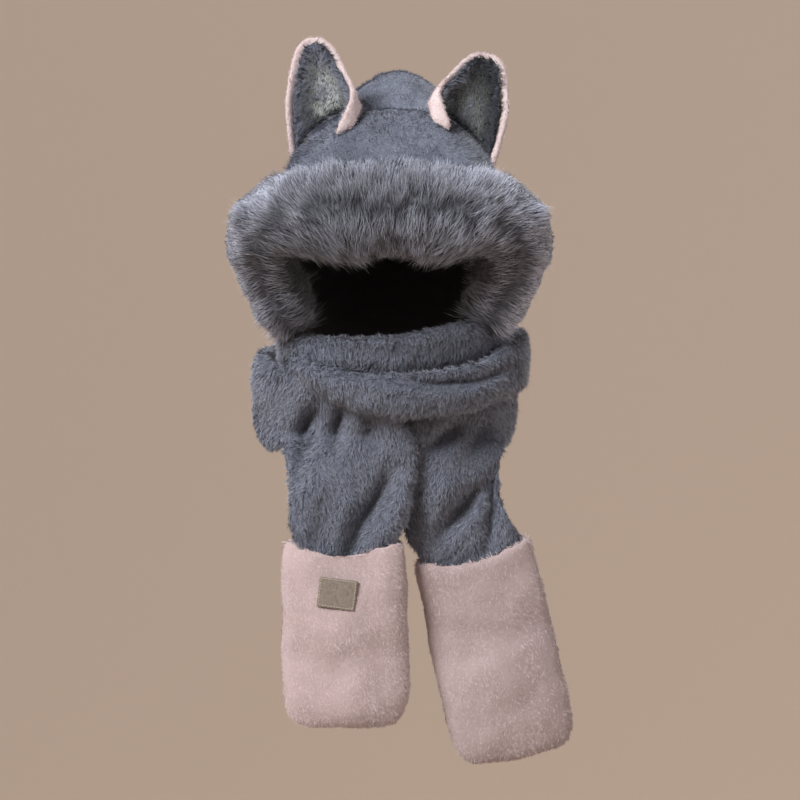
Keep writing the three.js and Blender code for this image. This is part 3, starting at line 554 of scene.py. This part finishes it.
def brim_comb(place, normal):
    """Away from the parting, which runs along the front of the roll."""
    parting = brim_across(place, normal) - PARTING + 0.06 * drift(place, 0.03, BRIM_SEED)
    way = brim_out(place, straight=0.95) * np.sign(parting)[:, None]
    way[:, 1] += np.where(normal[:, 1] < 0, 0.25, 0)
    return way


def brim_trim(place, normal):
    """Long on the front, short and flat where the roll goes over into the hood, and a
    little shorter at the sides and along the fringe."""
    across = brim_across(place, normal)
    aside = np.abs(place[:, 0])
    outer = np.clip((across - 0.25) / 0.5, 0, 1)
    inner = np.clip((-across - 0.1) / 0.5, 0, 1)
    sides = np.clip((aside - 0.09) / 0.06, 0, 1)
    top = np.clip((place[:, 2] + 0.10) / 0.04, 0, 1) * np.clip(1.7 - aside / 0.09, 0, 1)
    fringe = np.clip(-across * 2, 0, 1) * np.clip(1.4 - aside / 0.07, 0, 1)
    cut = (0.52 - 0.2 * top) * outer + (0.35 + 0.32 * sides) * inner + 0.22 * sides + 0.2 * fringe
    return np.maximum(1 - cut, 0.3)


def brim_painted_light(place, normal):
    """Painted light and shade: paler over the outside and to the right, and darker in the
    opening's sides.
    """
    across = brim_across(place, normal)
    sides = np.clip((np.abs(place[:, 0]) - 0.07) / 0.05, 0, 1)
    inner = np.clip((-across + 0.05) / 0.5, 0, 1) * sides
    outer = 0.4 * np.clip(across, 0, 1) + 0.75 * sides * np.clip(across + 0.35, 0, 1)
    outer *= 1 - 0.55 * np.clip((across - 0.75) / 0.25, 0, 1)
    # Painted light on the right side and painted shade on the roll's inward face.
    painted_right_light_inner_shade = 0.30 * np.clip(place[:, 0] / 0.1, 0, 1) - 0.08 * np.clip(-across * 2, 0, 1)
    return 1 + outer + painted_right_light_inner_shade - 0.72 * inner


def upper_half(place, normal):
    """1 above the parting, 0 below it."""
    return (brim_across(place, normal) > PARTING).astype(float)


def lower_half(place, normal):
    return 1 - upper_half(place, normal)


FUR_HAIR = hair_material("fur_hair", FUR_ROOT, FUR_BODY, FUR_TIP, 0.02, roughness=0.6)
brim_pieces = [brim]
for name, half, seed in (("upper", upper_half, BRIM_SEED), ("lower", lower_half, BRIM_SEED + 5)):
    fur = grow_pile(
        f"brim_fur_{name}", brim, tufts=BRIM_TUFTS, hairs=BRIM_HAIRS, length=FUR_LENGTH,
        width=FUR_WIDTH, lift=30, comb=brim_comb, seed=seed, tuft_spread=0.0036, gather=0.25,
        curve=0.6, bends=2, sway=0.28, keep=half, trim=brim_trim, tone=brim_painted_light,
    )
    fur.data.materials.append(FUR_HAIR)
    brim_pieces.append(fur)
for piece in brim_pieces:
    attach(piece, "root")
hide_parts("fur_brim")


# The ears: each is a curled leaf of pink plush with a grey plush face sewn inside its rim
# and a paler panel in the middle of the face. The right ear's inside is painted in shade.
EAR_VOXEL = 0.0025
EAR_ROUNDS = 4
EAR_HAIRS = 3
EAR_HAIR_WIDTH = 0.0011
RIM_TONE = 1.4
FACE_TONE = 0.82
EAR_SEED = 37
PINK_ROOT = (0.385, 0.300, 0.300, 1)
PINK_BODY = (0.480, 0.385, 0.388, 1)
PINK_TIP = (0.640, 0.535, 0.540, 1)
RIM_PALE = (0.78, 0.69, 0.68, 1)
FACE_PAINTED_SHADE = (0.030, 0.033, 0.045, 1)
CENTRE_DEEP = (0.035, 0.038, 0.040, 1)
CENTRE_ROOT = (0.10, 0.11, 0.107, 1)
CENTRE_BODY = (0.29, 0.31, 0.30, 1)
CENTRE_TIP = (0.46, 0.49, 0.47, 1)
PINK_HAIR = hair_material("pink_hair", PINK_ROOT, PINK_BODY, PINK_TIP, 0.012, vary=0.2)
RIM_CLOTH = cloth_material("rim_cloth", PINK_TIP, RIM_PALE, 0.04, 0.001, 0.3)
CENTRE_HAIR = hair_material("centre_hair", CENTRE_ROOT, CENTRE_BODY, CENTRE_TIP, 0.015)
CENTRE_CLOTH = cloth_material("centre_cloth", CENTRE_DEEP, CENTRE_ROOT, 0.01, 0.001, 0.5)


def upward(place, normal):
    return np.tile([0.0, -0.2, 1.0], (len(place), 1))


def inward(place, normal):
    """Towards the ear's middle, so that the border's pile laps over the centre."""
    way = place.mean(0) - place
    way[:, 2] *= 0.5
    return unit(way) + np.array([0.0, 0.0, 0.35])


# Each layer has its slot, cloth, hair, count of tufts, length of pile and comb. The face's
# cloth is its side's own, the right side's a darker copy painted in shade.
EAR_LAYERS = [
    ("back", "plush_pink", RIM_CLOTH, PINK_HAIR, 5200, 0.0034, upward),
    ("face", "plush_grey", None, PLUSH_HAIR, 3600, 0.0100, inward),
    ("centre", "ear_centre", CENTRE_CLOTH, CENTRE_HAIR, 2000, 0.0060, upward),
]
FACE_CLOTHS = {
    "left": PLUSH_CLOTH,
    "right": cloth_material("painted_shade_face_cloth", FACE_PAINTED_SHADE, PLUSH_ROOT, 0.012, 0.0012, 0.6),
}
# The left ear's panel is its own paler colour painted lighter still; the right ear's panel and
# the far side of its face are painted in shade.
CENTRE_PAINTED_LIGHT_AND_SHADE = {"left": 1.45, "right": 0.42}
FAR_PAINTED_SHADE = {"left": 0.0, "right": 0.64}
PANEL_SHIFT = np.array([0.003, 0, -0.010])
PANEL_REACH = np.array([0.019, 1, 0.040])


def centre_tone(place):
    """Pale in the ear's middle and dark towards the panel's edge."""
    away = (place - place.mean(0) - PANEL_SHIFT) / PANEL_REACH
    away[:, 1] = 0
    return 1.3 - 0.85 * np.clip((np.linalg.norm(away, axis=1) - 0.65) / 0.35, 0, 1)


for side in ("left", "right"):
    for layer, slot, cloth, hair, tufts, length, comb in EAR_LAYERS:
        node = f"ear_{side}_{layer}"
        leaf = rounded_copy(node, node + "_cloth", EAR_VOXEL, EAR_ROUNDS)
        leaf.data.materials.append(cloth or FACE_CLOTHS[side])

        # The centre's tone and the right ear's face carry painted light and shade.
        def ear_tone(place, normal):
            if layer == "back":
                return np.full(len(place), RIM_TONE)
            if layer == "centre":
                return CENTRE_PAINTED_LIGHT_AND_SHADE[side] * centre_tone(place)
            far = np.clip((place[:, 0] - place[:, 0].mean()) / 0.02 + 0.4, 0, 1)
            return FACE_TONE - FAR_PAINTED_SHADE[side] * far

        nap = grow_pile(
            node + "_pile", leaf, tufts=tufts, hairs=EAR_HAIRS, length=length,
            width=EAR_HAIR_WIDTH, lift=38, comb=comb, seed=EAR_SEED + tufts,
            tuft_spread=0.0015, sway=0.3, relief=0.2, tone=ear_tone,
        )
        nap.data.materials.append(hair)
        nap.visible_shadow = layer != "back"
        for piece in (leaf, nap):
            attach(piece, "root")
        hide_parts(node)


# The scarf panels: two long padded tubes of the same plush, which grow out of the hood's
# cheeks, cross under the chin, go once round the neck and come down in front.
PANEL_VOXEL = 0.005
PANEL_ROUNDS = 10
PANEL_TUFTS = 26000
PANEL_HAIRS = 4
SCARF_SEED = 51
PANEL_FRONT = -0.03
NECK = np.array([0, 0.02])
# FOLD_SHADE and TURN_SHADE are painted shade in the folds and under the brim.
FOLD_SHADE = 0.42
TURN_SHADE = {"from": -0.275, "share": 0.14}
TURN_SAG = {"x": -0.02, "breadth": 0.07, "from": -0.262, "depth": 0.011}
# Each fold is a line of (x, z) points with its depth and its breadth.
FOLDS = {
    "right": [
        ([(-0.101, -0.253), (-0.045, -0.261), (0.023, -0.261), (0.091, -0.253)], 0.004, 0.011),
        ([(0.086, -0.345), (0.064, -0.362), (0.045, -0.380)], 0.018, 0.010),
        ([(0.112, -0.350), (0.094, -0.384)], 0.010, 0.010),
        ([(0.108, -0.418), (0.083, -0.448), (0.060, -0.475)], 0.018, 0.011),
        ([(0.121, -0.405), (0.119, -0.447), (0.112, -0.492)], 0.016, 0.009),
        ([(0.080, -0.400), (0.050, -0.445)], -0.008, 0.018),
    ],
    "left": [
        ([(-0.120, -0.271), (-0.085, -0.277), (-0.060, -0.282), (0.005, -0.289)], 0.012, 0.006),
        ([(-0.010, -0.290), (0.046, -0.298), (0.091, -0.297), (0.146, -0.284)], 0.014, 0.006),
        ([(-0.139, -0.272), (-0.137, -0.300), (-0.130, -0.330)], 0.007, 0.009),
        ([(-0.081, -0.322), (-0.090, -0.344), (-0.098, -0.363), (-0.106, -0.405)], 0.024, 0.010),
        ([(-0.056, -0.325), (-0.058, -0.345), (-0.061, -0.372)], 0.018, 0.009),
        ([(-0.028, -0.335), (-0.018, -0.372)], 0.012, 0.009),
        ([(0.006, -0.400), (-0.013, -0.432), (-0.033, -0.461), (-0.048, -0.500)], 0.020, 0.012),
        ([(0.022, -0.400), (0.010, -0.440), (-0.010, -0.478)], -0.009, 0.014),
        ([(-0.070, -0.430), (-0.085, -0.490)], 0.007, 0.014),
    ],
}


def near_line(place, normal, line, breadth):
    """How near the front of a piece is to a line of (x, z) points: 1 on it, less towards its
    ends, and 0 where the breadth is well passed."""
    line = np.array(line, float)
    spot = place[:, [0, 2]]
    near = np.full(len(spot), 1e9)
    fade = np.zeros(len(spot))
    steps = np.linalg.norm(np.diff(line, axis=0), axis=1)
    run = np.concatenate([[0], np.cumsum(steps)])
    for k in range(len(line) - 1):
        way = line[k + 1] - line[k]
        share = np.clip(((spot - line[k]) @ way) / (way @ way), 0, 1)
        gap = np.linalg.norm(spot - line[k] - share[:, None] * way, axis=1)
        closer = gap < near
        near = np.where(closer, gap, near)
        at = (run[k] + share * steps[k]) / run[-1]
        fade = np.where(closer, np.sin(math.pi * np.clip(at, 0.04, 0.96)) ** 0.5, fade)
    shows = np.clip(-normal[:, 1] * 2, 0, 1) * (place[:, 1] < PANEL_FRONT)
    return np.exp(-((near / breadth) ** 2)) * fade * shows


def press(piece, line, depth, breadth):
    """Presses a fold into the front of a piece along a line of (x, z) points. A negative
    depth raises a ridge."""
    place, normal = skin_of(piece)
    place[:, 1] += depth * near_line(place, normal, line, breadth)
    put_skin(piece, place)


def downward(place, normal):
    return np.tile([0.0, 0.0, -1.0], (len(place), 1))


def panel_shows(place, normal):
    """0 where a panel lies against the neck or another turn, 1 elsewhere."""
    out = unit(place[:, :2] - NECK)
    inside = (normal[:, :2] * out).sum(1) < -0.35
    return 1.0 - inside * (place[:, 2] > -0.40)


def panel_painted_shade(place, normal, folds):
    """Painted shade: darker on the inner turn, in the brim's shade, and in the folds."""
    tone = 1 - TURN_SHADE["share"] * np.clip((place[:, 2] - TURN_SHADE["from"]) / 0.02, 0, 1)
    for line, depth, breadth in folds:
        shade = FOLD_SHADE * np.clip(depth / 0.015, 0, 1)
        tone *= 1 - shade * near_line(place, normal, line, 0.8 * breadth)
    return tone


def sag(piece):
    """Lets the upper edge of the inner turn sag in front."""
    place, _ = skin_of(piece)
    middle = np.exp(-(((place[:, 0] - TURN_SAG["x"]) / TURN_SAG["breadth"]) ** 2))
    upper = np.clip((place[:, 2] - TURN_SAG["from"]) / 0.03, 0, 1) * (place[:, 1] < -0.04)
    place[:, 2] -= TURN_SAG["depth"] * middle * upper
    put_skin(piece, place)


for side, seed in (("right", SCARF_SEED), ("left", SCARF_SEED + 7)):
    node = f"scarf_{side}"
    panel = rounded_copy(node, node + "_cloth", PANEL_VOXEL, PANEL_ROUNDS, ruffle=PLUSH_RUFFLE)
    for line, depth, breadth in FOLDS[side]:
        press(panel, line, depth, breadth)
    sag(panel)
    panel.data.materials.append(PLUSH_CLOTH)
    panel_pile = grow_pile(
        node + "_pile", panel, tufts=PANEL_TUFTS, hairs=PANEL_HAIRS, length=PLUSH_LENGTH,
        width=PLUSH_WIDTH, lift=32, comb=downward, seed=seed, tuft_spread=0.0018,
        keep=panel_shows,
        tone=lambda place, normal: panel_painted_shade(place, normal, FOLDS[side]),
    )
    panel_pile.data.materials.append(PLUSH_HAIR)
    for piece in (panel, panel_pile):
        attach(piece, "root")
    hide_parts(node)


# The pockets: pouches of pale pink plush, sewn to the panels' ends along their back walls
# and open at the top. Their nap is about 4 mm long, and longer along the open lip, which is
# painted paler as painted light. The left pocket is painted lighter than the right.
POCKET_VOXEL = 0.004
POCKET_ROUNDS = 7
POCKET_RUFFLE = (0.007, 0.06)
POCKET_TUFTS = 32000
POCKET_HAIRS = 2
NAP_LENGTH = 0.0042
NAP_WIDTH = 0.0010
LIP_LONGER = 0.5
# The lip's paler nap is painted light on its upward face.
LIP_PAINTED_LIGHT = 0.12
POCKET_SEED = 71
# Each dent is a place (x, z) with its radius and its height, negative inwards.
DENTS = {
    "right": [
        (0.085, -0.600, 0.034, -0.005),
        (0.130, -0.645, 0.040, 0.004),
        (0.168, -0.580, 0.026, -0.005),
        (0.100, -0.700, 0.036, -0.003),
    ],
    "left": [
        (-0.098, -0.610, 0.028, -0.005),
        (-0.060, -0.622, 0.026, -0.004),
        (-0.008, -0.605, 0.030, -0.005),
        (-0.045, -0.665, 0.045, 0.004),
        (-0.030, -0.500, 0.022, -0.004),
    ],
}
# The left pocket's nap and cloth are painted lighter than the right's, as painted light.
POCKET_PAINTED_LIGHT = {"right": 0.98, "left": 1.10}
LIT_POCKET_DEEP = (0.445, 0.355, 0.357, 1)
LIT_POCKET_PALE = (0.565, 0.448, 0.452, 1)
POCKET_CLOTHS = {
    "right": cloth_material("right_pocket_cloth", PINK_ROOT, PINK_BODY, 0.04, 0.001, 0.3),
    "left": cloth_material("left_pocket_cloth", LIT_POCKET_DEEP, LIT_POCKET_PALE, 0.04, 0.001, 0.3),
}


def swell(piece, spots):
    """Swells the front of a piece at (x, z, radius, height) spots. A negative height is a
    dent."""
    place, normal = skin_of(piece)
    shows = np.clip(-normal[:, 1] * 2, 0, 1) * (place[:, 1] < 0)
    for x, z, radius, height in spots:
        gap = np.hypot(place[:, 0] - x, place[:, 2] - z) / radius
        place += normal * (height * np.exp(-(gap**2)) * shows)[:, None]
    put_skin(piece, place)


def hem(place, normal):
    """1 on the lip of a pocket, which faces up, and 0 elsewhere."""
    return np.clip(normal[:, 2] * 1.5 - 0.2, 0, 1)


for side, seed in (("right", POCKET_SEED), ("left", POCKET_SEED + 5)):
    node = f"pocket_{side}"
    pouch = rounded_copy(node, node + "_cloth", POCKET_VOXEL, POCKET_ROUNDS, ruffle=POCKET_RUFFLE)
    swell(pouch, DENTS[side])
    pouch.data.materials.append(POCKET_CLOTHS[side])
    pouch_pile = grow_pile(
        node + "_pile", pouch, tufts=POCKET_TUFTS, hairs=POCKET_HAIRS, length=NAP_LENGTH,
        width=NAP_WIDTH, lift=38, comb=downward, seed=seed, tuft_spread=0.001, gather=0.2,
        relief=0.8, sway=0.8,
        trim=lambda place, normal: 1 + LIP_LONGER * hem(place, normal),
        tone=lambda place, normal: POCKET_PAINTED_LIGHT[side] * (1 + LIP_PAINTED_LIGHT * hem(place, normal)),
    )
    pouch_pile.data.materials.append(PINK_HAIR)
    pouch_pile.visible_shadow = False
    for piece in (pouch, pouch_pile):
        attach(piece, "root")
    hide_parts(node)


# The label: a bare patch of woven linen 44 by 35 mm, sewn flat on the left pocket with one
# row of small stitches inside its edge.
LABEL_MIDDLE = (-0.0592, -0.5350)
LABEL_TURN = math.radians(-7.3)
LABEL_FLAT = (0.044, 0.035)
LINEN_DARK = (0.215, 0.180, 0.150, 1)
LINEN_LIGHT = (0.320, 0.272, 0.232, 1)
THREAD = (0.520, 0.460, 0.400, 1)
STITCH_INSET = 0.0022
STITCH_PITCH = 0.0034
STITCH_LENGTH = 0.0022
STITCH_RADIUS = 0.00045
LABEL_VOXEL = 0.001
WEAVE_SCALE = 420
WEAVE_WANDER = 1.5

patch = rounded_copy("label", "label_patch", LABEL_VOXEL, 2, levels=0)
linen = cloth_material("label_linen", LINEN_DARK, LINEN_LIGHT, 0.003, 0.0005, 0.2)
weave = linen.node_tree.nodes.new("ShaderNodeTexWave")
weave.inputs["Scale"].default_value = WEAVE_SCALE
weave.inputs["Distortion"].default_value = WEAVE_WANDER
linen.node_tree.links.new(
    linen.node_tree.nodes["Texture Coordinate"].outputs["Object"], weave.inputs["Vector"]
)
linen.node_tree.links.new(
    weave.outputs["Fac"], linen.node_tree.nodes["Bump"].inputs["Height"]
)
patch.data.materials.append(linen)
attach(patch, "root")
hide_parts("label")

half_width = LABEL_FLAT[0] / 2 - STITCH_INSET
half_length = LABEL_FLAT[1] / 2 - STITCH_INSET
corners = [
    Vector((-half_width, half_length)), Vector((half_width, half_length)),
    Vector((half_width, -half_length)), Vector((-half_width, -half_length)),
]
stitches = []
for k, start in enumerate(corners):
    run = corners[(k + 1) % 4] - start
    count = round(run.length / STITCH_PITCH)
    for i in range(count):
        flat = start + run * ((i + 0.5) / count)
        flat.rotate(Matrix.Rotation(LABEL_TURN, 2))
        heading = math.atan2(run.y, run.x) + LABEL_TURN
        spot = Vector((LABEL_MIDDLE[0] + flat.x, -1, LABEL_MIDDLE[1] + flat.y))
        found, hit, _, _ = patch.ray_cast(spot, Vector((0, 1, 0)))
        if not found:
            continue
        deselect()
        bpy.ops.mesh.primitive_cylinder_add(
            vertices=8, radius=STITCH_RADIUS, depth=STITCH_LENGTH, location=hit,
            rotation=(0, math.pi / 2 - heading, 0),
        )
        stitches.append(bpy.context.object)
deselect()
for stitch in stitches:
    stitch.select_set(True)
bpy.context.view_layer.objects.active = stitches[0]
bpy.ops.object.join()
seam = bpy.context.object
seam.name = "label_stitches"
bpy.ops.object.transform_apply(location=True, rotation=True, scale=True)
bpy.ops.object.shade_smooth_by_angle(angle=math.radians(40))
seam.data.materials.append(plain_material("thread", THREAD, 0.8))
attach(seam, "root")
